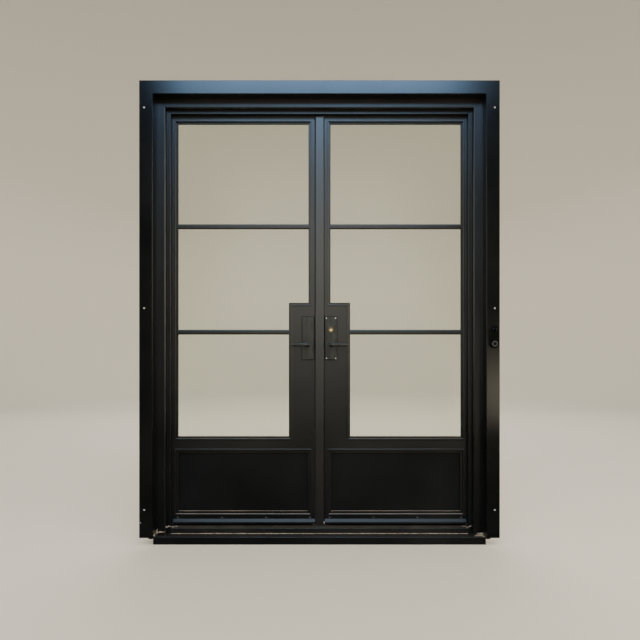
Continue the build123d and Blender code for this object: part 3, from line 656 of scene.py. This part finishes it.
def screwGrid(centre, axis, kind, spin):
    # A turned pan head, falling with the fourth power of the radius, on a pointed shank. Two crossed slots
    # sink into the head: each point there goes down by a product of soft steps in the two directions of
    # a slot.
    look = screwLook
    head, high, shank, long = (screwKinds[kind][size] for size in ("head", "high", "shank", "long"))
    dome = np.linspace(0, look["domeReach"], look["rings"])
    profile = [(head * r, high * (1 - look["domeFall"] * r ** 4)) for r in dome]
    profile += [(head, high * look["rim"]), (head, 0), (shank, 0)]
    profile += [(shank, -long * look["pointStart"]), (0, -long)]
    grid = turned(profile, (0, 0, 0), axis, look["columns"])
    angle = np.linspace(0, 2 * np.pi, look["columns"], endpoint=False) + spin
    radius = head * dome[:, None]
    slotX, slotY = np.abs(radius * np.cos(angle)), np.abs(radius * np.sin(angle))
    width, reach, soft = head * look["slotWidth"], head * look["slotReach"], head * look["slotSoft"]
    arms = []
    for a, b in ((slotX, slotY), (slotY, slotX)):
        arms.append((1 - smoothStep(width, width + soft, a)) * (1 - smoothStep(reach, reach + soft, b)))
    sink = np.maximum(*arms) * high * look["slotDepth"]
    grid[:look["rings"]] -= sink[:, :, None] * np.array(axis)
    return grid + np.array(centre)


def addScrews(name, kind, axis, places, body, replaced=()):
    # One piece of screws of one kind, each with its slots turned another way
    spins = np.random.default_rng(screwKinds[kind]["seed"]).uniform(0, np.pi, len(places))
    grids = [screwGrid(place, axis, kind, spin) for place, spin in zip(places, spins)]
    addPiece(name, grids, metals[screwKinds[kind]["metal"]], body, replaced)


def makeCasingScrews():
    low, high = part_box("casing_screws")
    head = screwKinds["casing"]["head"]
    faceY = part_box("casing_left_leg")[0][1]
    heights = [low[2] + head, screwPlaces["casingMiddle"], high[2] - head]
    places = [(x, faceY, z) for x in (low[0] + head, high[0] - head) for z in heights]
    addScrews("casing_screws_crossed", "casing", outwards, places, "frame", ["casing_screws"])


def makeSweepScrews(name, side):
    # Evenly spaced along the sheet
    low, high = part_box(f"{name}_sweep")
    inner, outer = sorted((abs(low[0]), abs(high[0])))
    end = screwPlaces["sweepEnd"]
    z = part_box(f"{name}_leaf_screws")[0][2] + screwKinds["sweep"]["head"]
    y = screwPlaces["sweepFaceY"]
    places = [(side * x, y, z) for x in np.linspace(inner + end, outer - end, screwPlaces["sweepCount"])]
    replaced = [f"{name}_leaf_screws"]
    addScrews(f"{name}_leaf_screws_crossed", "sweep", outwards, places, f"{name}_leaf", replaced)


def makePlateScrews():
    low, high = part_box("right_outer_plate")
    edge = screwPlaces["plateEdge"]
    heights = (low[2] + edge, high[2] - edge)
    places = [(x, low[1], z) for x in (low[0] + edge, high[0] - edge) for z in heights]
    addScrews("right_plate_screws_crossed", "plate", outwards, places, "right_leaf")


def makeForendScrews(node, body, towards):
    # Towards is the way in X that the forend faces
    low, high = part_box(node)
    face = high[0] if towards > 0 else low[0]
    y = boxMiddle(node)[1]
    end = screwPlaces["forendEnd"]
    places = [(face, y, z) for z in (low[2] + end, high[2] - end)]
    addScrews(f"{node}_screws", "forend", (towards, 0, 0), places, body)


makeCasingScrews()
makeSweepScrews("left", sides["left"])
makePlateScrews()
makeSweepScrews("right", sides["right"])
makeForendScrews("strike_plate", "left_leaf", 1)
makeForendScrews("right_lock_case", "right_leaf", -1)
print("screws done")


# Glass and seals

glassLook = {"colour": "#f0f4ea", "roughness": (0.0, 0.05), "smearMm": 160}
rubberLook = {"dark": "#090909", "pale": "#181817", "roughness": 0.8, "bloomMm": 14}
sealantLook = {"stained": "#6d6355", "pale": "#a8a398", "roughness": 0.85, "stainMm": 16, "crumbMm": 2}


def paneGlass():
    # Clear float glass, slightly green, with faint smears of dust in its gloss
    look = glassLook
    material, tree, shader, place = startMaterial(
        "clearFloatGlass", IOR=1.5, Base_Color=hexColour(look["colour"]), Transmission_Weight=1.0,
    )
    smear = addNode(tree, "TexNoise", values={"Scale": perMm(look["smearMm"]), "Detail": 5.0}, links={
        "Vector": place,
    })
    gloss = addNode(tree, "MapRange", values={
        "From Min": 0.5, "From Max": 0.75, "To Min": look["roughness"][0], "To Max": look["roughness"][1],
    }, links={"Value": smear.outputs["Fac"]})
    tree.links.new(gloss.outputs[0], shader.inputs["Roughness"])
    return material


def rubberFinish():
    # Extruded EPDM: black, dull, with a grey bloom
    look = rubberLook
    material, tree, shader, place = startMaterial("extrudedRubber", Roughness=look["roughness"])
    bloom = addNode(tree, "TexNoise", values={"Scale": perMm(look["bloomMm"]), "Detail": 4.0}, links={
        "Vector": place,
    })
    tone = addNode(tree, "ValToRGB", links={"Fac": bloom.outputs["Fac"]})
    tone.color_ramp.elements[0].color = hexColour(look["dark"])
    tone.color_ramp.elements[0].position = 0.4
    tone.color_ramp.elements[1].color = hexColour(look["pale"])
    tone.color_ramp.elements[1].position = 0.8
    tree.links.new(tone.outputs["Color"], shader.inputs["Base Color"])
    return material


def sealantFinish():
    # Cured sealant and mortar slurry: pale, chalky and rough, browner where dirt has stained it
    look = sealantLook
    material, tree, shader, place = startMaterial("curedSealant", Roughness=look["roughness"])
    stain = addNode(tree, "TexNoise", values={"Scale": perMm(look["stainMm"]), "Detail": 5.0}, links={
        "Vector": place,
    })
    tone = addNode(tree, "ValToRGB", links={"Fac": stain.outputs["Fac"]})
    tone.color_ramp.elements[0].color = hexColour(look["stained"])
    tone.color_ramp.elements[0].position = 0.36
    tone.color_ramp.elements[1].color = hexColour(look["pale"])
    tone.color_ramp.elements[1].position = 0.6
    crumb = addNode(tree, "TexNoise", values={"Scale": perMm(look["crumbMm"]), "Detail": 4.0}, links={
        "Vector": place,
    })
    bump = addNode(tree, "Bump", values={"Strength": 0.5, "Distance": 0.0005}, links={
        "Height": crumb.outputs["Fac"],
    })
    tree.links.new(tone.outputs["Color"], shader.inputs["Base Color"])
    tree.links.new(bump.outputs["Normal"], shader.inputs["Normal"])
    return material


glass = paneGlass()
rubber = rubberFinish()
sealant = sealantFinish()
dress(["left_glass", "right_glass"], glass)
dress(["frame_seals"], rubber)

# Profiles of the glazing gaskets, as how far inside the opening's edge and the place in Y, and the step
# that the lock box makes in the opening
gasketLook = {
    "outside": [(0.0098, 0.0219), (0.0098, 0.0182), (0.0112, 0.0177), (0.0127, 0.0192), (0.0134, 0.0219)],
    "inside": [(0.0078, 0.0321), (0.0078, 0.0358), (0.0092, 0.0363), (0.0107, 0.0348), (0.0114, 0.0321)],
    "lockBoxReach": 0.168,    # in X from the middle of the door
    "lockBoxTop": 1.379,      # in Z
    "paneGap": 0.0004,        # round the pane
}
# The two seals in the meeting gap: how far each stands out of its leaf's edge, and its place in Y.
# They lap past each other one behind the other, so no light comes through.
meetingSeals = {
    "left": {"wide": 0.0032, "low": 0.0430, "high": 0.0485},
    "right": {"wide": 0.0026, "low": 0.0372, "high": 0.0422},
}
meetingSealSteps = 9
# Flat gaskets of black rubber that show round the foot of the centre bar and of the outer plates: they paint
# the shadow that falls at the edges of the bar and the plates
shadowStripLook = {
    "wide": 0.0058,         # how far the bar's stands out at its sides
    "endWide": 0.0045,      # and at its two ends
    "plateWide": 0.0034,    # how far the plates' stand out
    "thick": 0.0018,
    "under": 0.0008,        # how far they reach in under what stands on them
    "edgeHigh": 0.5,        # share of the thickness that the outer edge stands upright
    "topWide": 0.8,         # share of the width at which the rounding ends
}


def carriedRound(corners, profile):
    # A profile carried round a closed outline in X and Z whose corners are all square: at a corner a point
    # moves in by its distance from both edges at once
    edge = np.roll(corners, -1, axis=0) - corners
    edge /= np.linalg.norm(edge, axis=1, keepdims=True)
    inward = np.stack([-edge[:, 1], edge[:, 0]], axis=1)
    step = inward + np.roll(inward, 1, axis=0)
    distance, depth = np.array(profile + profile[:1]).T
    flat = corners + distance[:, None, None] * step
    depth = np.broadcast_to(depth[:, None], flat.shape[:2])
    return np.stack([flat[..., 0], depth, flat[..., 1]], axis=-1)


def makeGlazingGaskets():
    # Round the L-shaped pane, once outside and once inside. The outline is that of the right leaf, and the
    # left leaf's is its mirror image.
    look = gasketLook
    for name, side in sides.items():
        low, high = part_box(f"{name}_glass")
        gap = look["paneGap"]
        middle, outer = sorted((abs(low[0]), abs(high[0])))
        middle, outer = middle - gap, outer + gap
        bottom, top = low[2] - gap, high[2] + gap
        corners = np.array([
            (middle, look["lockBoxTop"]), (look["lockBoxReach"], look["lockBoxTop"]),
            (look["lockBoxReach"], bottom), (outer, bottom), (outer, top), (middle, top),
        ])
        grids = [carriedRound(corners, look[face]) * (side, 1, 1) for face in ("outside", "inside")]
        addPiece(f"{name}_glazing_gaskets", grids, rubber, f"{name}_leaf", smooth=False)


def makeMeetingSeals():
    # A half round strip down the edge of each leaf, whose end rows shrink to a point and so close it
    for name, side in sides.items():
        look = meetingSeals[name]
        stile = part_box(f"{name}_meeting_stile")
        edgeX = stile[1][0] if side < 0 else stile[0][0]
        bulb = np.linspace(-np.pi / 2, np.pi / 2, meetingSealSteps)
        profileX = edgeX - side * look["wide"] * np.cos(bulb)
        profileY = (look["low"] + look["high"]) / 2 + (look["high"] - look["low"]) / 2 * np.sin(bulb)
        profileX[[0, -1]] = edgeX
        ends = np.array([stile[0][2], stile[0][2], stile[1][2], stile[1][2]])
        strip = np.stack(np.broadcast_arrays(profileX, profileY, ends[:, None]), axis=-1)
        strip[[0, -1]] = strip[[0, -1]].mean(axis=1, keepdims=True)
        addPiece(f"{name}_meeting_seal", [strip], rubber, f"{name}_leaf", smooth=False)


def shadowStrip(low, high, wide):
    # A flat profile with a rounded outer edge, carried round the outline of what stands on it: a dark strip
    # of painted shadow
    look = shadowStripLook
    thick, under = look["thick"], look["under"]
    profile = [
        (under, 0), (-wide, 0), (-wide, -thick * look["edgeHigh"]), (-wide * look["topWide"], -thick),
        (under, -thick),
    ]
    corners = np.array([(low[0], low[2]), (high[0], low[2]), (high[0], high[2]), (low[0], high[2])])
    return carriedRound(corners, profile)


def makeShadowStrips():
    # The bar's gasket, a strip of painted shadow, ends at the edge of the left leaf, so that the right leaf
    # swings past it
    look = shadowStripLook
    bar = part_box("centre_bar")
    strip = shadowStrip(bar[0], bar[1], look["wide"])
    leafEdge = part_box("left_meeting_stile")[1][0]
    strip[..., 0] = np.minimum(strip[..., 0], leafEdge)
    strip[..., 2] = np.clip(strip[..., 2], bar[0][2] - look["endWide"], bar[1][2] + look["endWide"])
    addPiece("centre_bar_shadow_strip", [strip], rubber, "left_leaf", smooth=False)
    for name in sides:
        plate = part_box(f"{name}_outer_plate")
        grid = shadowStrip(plate[0], plate[1], look["plateWide"])
        addPiece(f"{name}_plate_shadow_strip", [grid], rubber, f"{name}_leaf", smooth=False)


makeGlazingGaskets()
makeMeetingSeals()
makeShadowStrips()
print("seals done")


# Sealant along the threshold's foot and smears at the corners of the frame

caulkLook = {
    "radius": 0.0026,
    "waver": 0.56,     # how strongly the mean of the waves changes the radius
    "waves": (6.2, 14.6, 35.8, 82.0, 166.0, 302.0),    # in radians a metre
    "short": 0.016,    # how far the bead stays short of the threshold's ends
    "stations": 420,
    "arcSteps": 6,
    "seed": 21,
}
# Smears: middle, half sizes along two directions on the surface, height, and which way the surface looks.
# They are read from the photograph, at the feet of the two jambs and on the casing's left leg.
smears = [
    ((-0.841, -0.014, 0.0800), (0.010, 0.005), 0.0016, "up"),
    ((-0.858, -0.022, 0.0780), (0.008, 0.006), 0.0020, "up"),
    ((-0.877, -0.037, 0.0850), (0.008, 0.0045), 0.0022, "front"),
    ((-0.890, -0.060, 0.0880), (0.009, 0.0050), 0.0030, "front"),
    ((-0.918, -0.070, 0.0620), (0.025, 0.0040), 0.0015, "front"),
    ((-0.940, -0.070, 0.0630), (0.006, 0.0120), 0.0020, "front"),
    ((-0.946, -0.100, 0.0560), (0.024, 0.0060), 0.0020, "right"),
    ((-0.948, -0.090, 0.0440), (0.005, 0.0120), 0.0020, "up"),
    ((0.850, -0.016, 0.0800), (0.012, 0.0050), 0.0016, "up"),
    ((0.864, -0.026, 0.0770), (0.007, 0.0070), 0.0020, "up"),
    ((0.878, -0.037, 0.0860), (0.009, 0.0050), 0.0022, "front"),
    ((0.922, -0.078, 0.0440), (0.026, 0.0090), 0.0060, "up"),
    ((0.932, -0.070, 0.0520), (0.016, 0.0090), 0.0022, "front"),
    ((0.944, -0.092, 0.0440), (0.009, 0.0100), 0.0030, "up"),
    ((-1.013, -0.146, 0.1380), (0.0035, 0.0030), 0.0010, "front"),
]
# The two directions on each kind of surface, and the way that it looks
smearFaces = {
    "up": ((1, 0, 0), (0, 1, 0), (0, 0, 1)),
    "front": ((1, 0, 0), (0, 0, 1), outwards),
    "right": ((0, 1, 0), (0, 0, 1), (1, 0, 0)),
}
smearLook = {
    "rings": (0, 1, 0.97, 0.9, 0.78, 0.62, 0.42, 0.2, 0),
    "columns": 56,
    "rimWaves": (2, 3, 4, 5, 6),    # round the rim, each weaker by its own number
    "rimWander": 0.5,
    "lobes": (3, 5),                # the two waves round the top
    "lumps": (0.35, 0.25),          # and their strengths
    "sunk": 0.1,                    # share of the height by which the underside lies in the surface
}


def smearGrid(middle, half, lift, face, seed):
    # A low dome on a surface: rings from the middle of its flat underside, round a rim that wanders with
    # sine waves of random phase, and back over the top, which two waves with the first two of those phases
    # raise and lower
    look = smearLook
    across, upward, normal = (np.array(v, float) for v in smearFaces[face])
    waves = np.array(look["rimWaves"])[:, None]
    phase = np.random.default_rng(seed).uniform(0, 2 * np.pi, len(waves))
    angle = np.linspace(0, 2 * np.pi, look["columns"], endpoint=False)
    rim = 1 + (np.sin(waves * angle + phase[:, None]) * look["rimWander"] / waves).sum(axis=0)
    ring = np.array(look["rings"])[:, None]
    broad, fine = (np.sin(count * angle + start) for count, start in zip(look["lobes"], phase))
    lumps = 1 + look["lumps"][0] * broad * ring + look["lumps"][1] * fine * ring ** 2
    height = lift * np.sqrt(np.clip(1 - ring ** 2, 0, 1)) * lumps
    height[:2] = -lift * look["sunk"]
    offset = (ring * rim * np.cos(angle))[..., None] * across * half[0]
    offset = offset + (ring * rim * np.sin(angle))[..., None] * upward * half[1]
    return np.array(middle) + offset + height[..., None] * normal


def caulkGrid():
    # A quarter-round bead along X in the corner between the sill and the threshold. Its radius wavers
    # with a sum of sines, and each end closes in a point.
    look = caulkLook
    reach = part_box("threshold")[1][0] - look["short"]
    footY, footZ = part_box("threshold")[0][1:]
    x = np.linspace(-reach, reach, look["stations"])
    waves = np.array(look["waves"])[:, None]
    phase = np.random.default_rng(look["seed"]).uniform(0, 2 * np.pi, len(waves))
    radius = look["radius"] * (1 + look["waver"] * np.sin(waves * x + phase[:, None]).mean(axis=0))
    angle = np.linspace(0, np.pi / 2, look["arcSteps"])
    outY = np.concatenate([[0], -np.cos(angle)])
    outZ = np.concatenate([[0], np.sin(angle)])
    y = footY + radius[:, None] * outY
    z = footZ + radius[:, None] * outZ
    grid = np.stack([np.broadcast_to(x[:, None], y.shape), y, z], axis=-1)
    grid[[0, -1]] = grid[[0, -1]].mean(axis=1, keepdims=True)
    return grid


def makeSealant():
    addPiece("threshold_foot_sealant", [caulkGrid()], sealant, "frame")
    grids = [smearGrid(*smear, seed) for seed, smear in enumerate(smears)]
    addPiece("corner_sealant_smears", grids, sealant, "frame")


makeSealant()
print("sealant done")


# Doorbell

plasticLooks = {
    "mouldedSatinShell": {
        "colour": "#040505", "roughness": (0.24, 0.375), "textureMm": 3.0, "specular": 0.08,
    },
    "mouldedMattKey": {
        "colour": "#060707", "roughness": (0.4, 0.625), "textureMm": 1.2, "specular": 0.1,
    },
    "mouldedSatinRing": {
        "colour": "#3c3f41", "roughness": (0.24, 0.375), "textureMm": 1.5, "specular": 0.3,
    },
    "polishedDarkLens": {
        "colour": "#020305", "roughness": (0.032, 0.05), "textureMm": 8.0, "specular": 0.5,
    },
}
# Profiles of the ring and the button, as radius and height over the housing's front
bellLook = {
    "ring": [(0.0109, 0), (0.0162, 0), (0.0162, 0.0008), (0.0152, 0.0014), (0.0121, 0.0014),
             (0.0109, 0.0008)],
    "ringSunk": 0.0008,    # how far the ring is let into the housing
    "button": [(0, 0.0004), (0.005, 0.0006), (0.0082, 0.0010), (0.0096, 0.0012), (0.0103, 0.0008),
               (0.0105, 0.0001), (0.0105, -0.0058), (0, -0.0058)],
    "columns": 72,
}


def plasticFinish(name, look):
    # Moulded plastic: one deep colour, a fine spark-eroded texture and a little unevenness in its gloss
    material, tree, shader, place = startMaterial(
        name, Base_Color=hexColour(look["colour"]), IOR=1.49, Specular_IOR_Level=look["specular"],
    )
    texture = addNode(tree, "TexNoise", values={"Scale": perMm(look["textureMm"]), "Detail": 3.0}, links={
        "Vector": place,
    })
    gloss = addNode(tree, "MapRange", values={
        "To Min": look["roughness"][0], "To Max": look["roughness"][1],
    }, links={"Value": texture.outputs["Fac"]})
    bump = addNode(tree, "Bump", values={"Strength": 0.12, "Distance": 0.0001}, links={
        "Height": texture.outputs["Fac"],
    })
    tree.links.new(gloss.outputs[0], shader.inputs["Roughness"])
    tree.links.new(bump.outputs["Normal"], shader.inputs["Normal"])
    return material


def makeDoorbell():
    look = bellLook
    shell, key, satin, lens = (plasticFinish(name, plastic) for name, plastic in plasticLooks.items())
    dress(["doorbell_housing"], shell)
    dress(["doorbell_lens"], lens)
    x, _, z = boxMiddle("doorbell_button")
    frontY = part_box("doorbell_housing")[0][1]
    closedRing = look["ring"] + look["ring"][:1]
    ring = turned(closedRing, (x, frontY + look["ringSunk"], z), outwards, look["columns"])
    addPiece("doorbell_light_ring", [ring], satin, "frame", smooth=False)
    button = turned(look["button"], (x, frontY, z), outwards, look["columns"])
    addPiece("doorbell_button_dished", [button], key, "doorbell_button", ["doorbell_button"])


makeDoorbell()
print("doorbell done")


# Camera, stage and light, once all pieces stand

placeCamera()
buildStage()
hangSoftBoxes()
standGlowCards()
print("stage, camera and light done")
